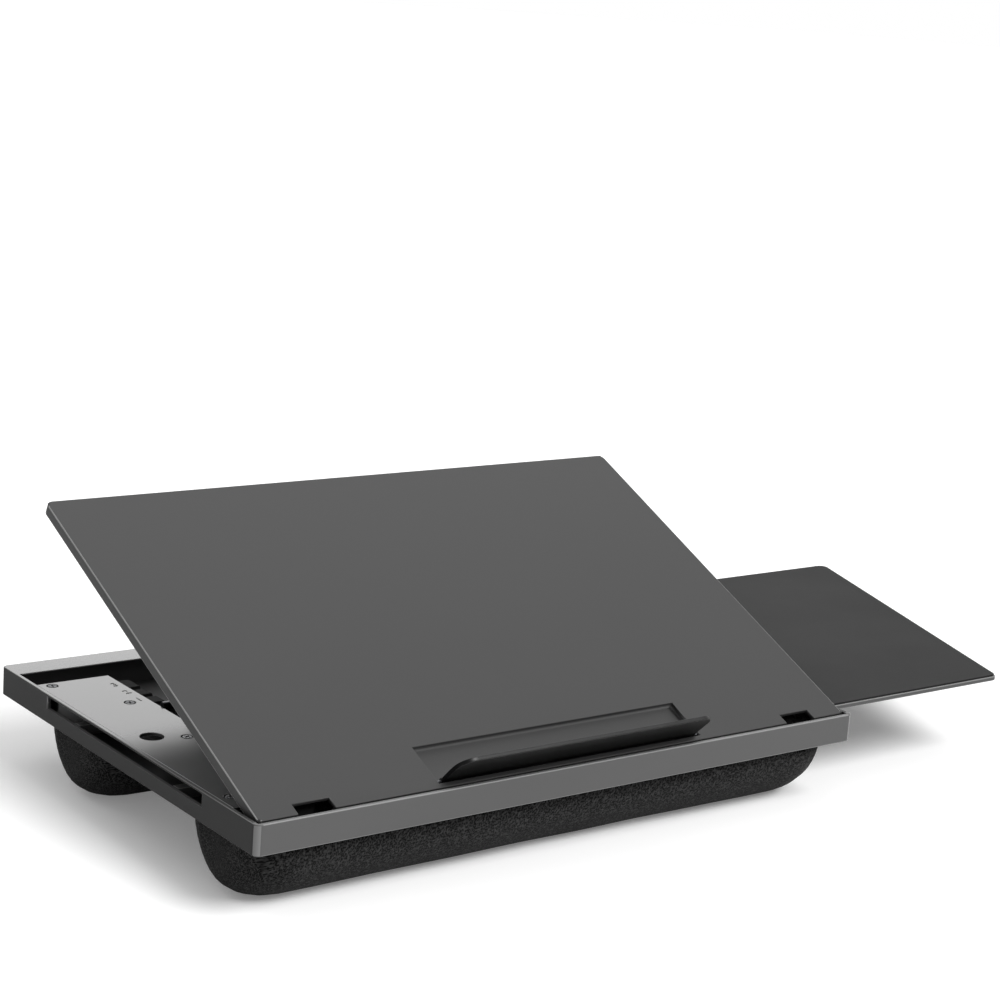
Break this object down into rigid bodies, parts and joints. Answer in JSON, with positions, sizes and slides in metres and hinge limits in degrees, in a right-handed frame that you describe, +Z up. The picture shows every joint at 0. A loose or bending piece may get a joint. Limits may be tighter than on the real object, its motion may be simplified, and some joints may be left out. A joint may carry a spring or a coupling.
{
  "type": "lap tray with cushions",
  "caption": "Lap tray for a portable computer: shallow base on soft bolsters, tilting platform with folding prop, flip-up stop lip and slide-in mouse board.",
  "frame": {"origin": "middle of the front bolster's resting face", "axes": "+X to the right, where the mouse board goes, +Y to the back, +Z up"},
  "size_m": [0.582, 0.2565, 0.1412],
  "materials": {
    "shell_plastic": "fine moulded texture",
    "deck_plastic": "satin, fine texture",
    "platform_plastic": "fine matte texture",
    "prop_plastic": "matte",
    "lip_plastic": "glossy",
    "dark_steel": "blackened",
    "cushion_cloth": "woven, heather",
    "backing_board": "plain",
    "board_plastic": "satin",
    "pad_skin": "smooth mouse cloth"
  },
  "bodies": {
    "base": {"lower_shell": "shell_plastic", "deck_plate": "deck_plastic", "deck_screws": "dark_steel", "left_rack": "shell_plastic", "right_rack": "shell_plastic", "left_hinge_bracket": "shell_plastic", "right_hinge_bracket": "shell_plastic", "left_hinge_pin": "dark_steel", "right_hinge_pin": "dark_steel", "tongue_rails": "shell_plastic", "front_cushion": "cushion_cloth", "rear_cushion": "cushion_cloth", "front_backing_board": "backing_board", "rear_backing_board": "backing_board", "backing_screws": "dark_steel"},
    "platform": {"platform_panel": "platform_plastic", "left_hinge_lugs": "platform_plastic", "right_hinge_lugs": "platform_plastic", "left_prop_lug": "platform_plastic", "right_prop_lug": "platform_plastic", "lip_rod": "dark_steel"},
    "prop": {"prop_frame": "prop_plastic", "left_prop_pin": "dark_steel", "right_prop_pin": "dark_steel", "prop_foot_rod": "dark_steel"},
    "stop_lip": {"stop_lip": "lip_plastic"},
    "mouse_board": {"board_tongue": "board_plastic", "mouse_board": "board_plastic", "mouse_pad": "pad_skin", "board_screws": "dark_steel"}
  },
  "joints": [
    {"name": "platform_tilt", "type": "hinge", "parent": "base", "child": "platform", "pos_m": [0, -0.021, 0.0478], "axis": [1, 0, 0], "range_deg": [-24.2, 0]},
    {"name": "prop_fold", "type": "hinge", "parent": "platform", "child": "prop", "pos_m": [0, 0.07064, 0.08931], "axis": [1, 0, 0], "range_deg": [0, 65.5]},
    {"name": "lip_flip", "type": "hinge", "parent": "platform", "child": "stop_lip", "pos_m": [0, -0.03013, 0.04786], "axis": [1, 0, 0], "range_deg": [-106, 0]},
    {"name": "board_slide", "type": "slide", "parent": "base", "child": "mouse_board", "axis": [1, 0, 0], "range_m": [0, 0.028]}
  ],
  "couplings": [
    {"joint": "prop_fold", "follows": "platform_tilt", "ratio": -2.683}
  ]
}
